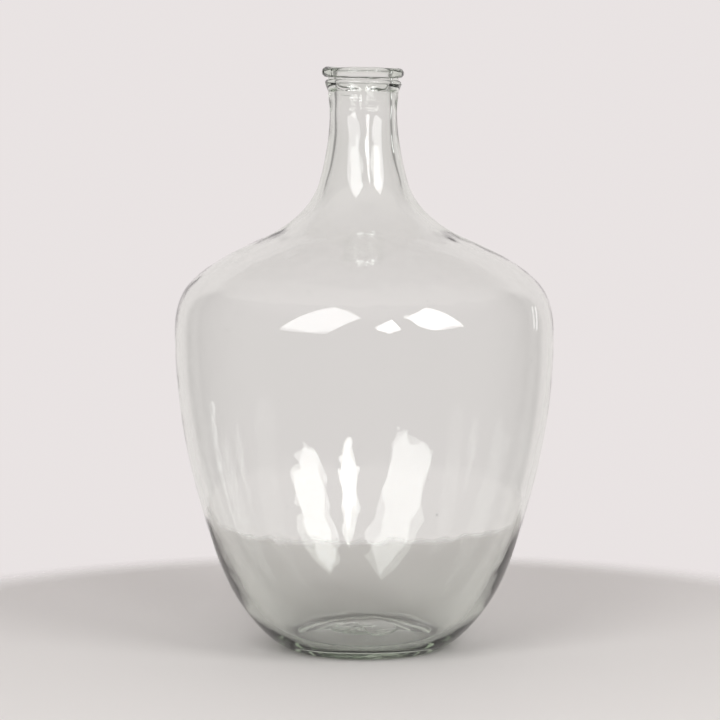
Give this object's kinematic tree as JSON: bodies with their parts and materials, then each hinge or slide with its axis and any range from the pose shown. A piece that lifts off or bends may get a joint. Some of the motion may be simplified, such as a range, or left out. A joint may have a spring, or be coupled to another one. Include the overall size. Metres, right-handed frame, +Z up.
{
  "type": "glass carboy",
  "caption": "Clear blown glass carboy with a pushed-up base, a high round belly, a broad shoulder and a waisted neck with a string ring and a rolled lip round an open mouth.",
  "frame": {"origin": "middle of the ring that the carboy stands on, in the plane of the table", "axes": "+Z up along the axis of the vessel, out of its mouth; +X and +Y lie in the table plane"},
  "size_m": [0.322, 0.3218, 0.494],
  "materials": {
    "body_glass": "clear blown glass with a faint grey-green tint",
    "ring_glass": "clear fire-polished glass, greener where it is thick",
    "wad_glass": "broken glass face, green in the thickness of the base"
  },
  "bodies": {
    "root": {"vessel": "body_glass", "collar_ring": "ring_glass", "lip_ring": "ring_glass", "pontil_wad": "wad_glass"}
  },
  "joints": []
}
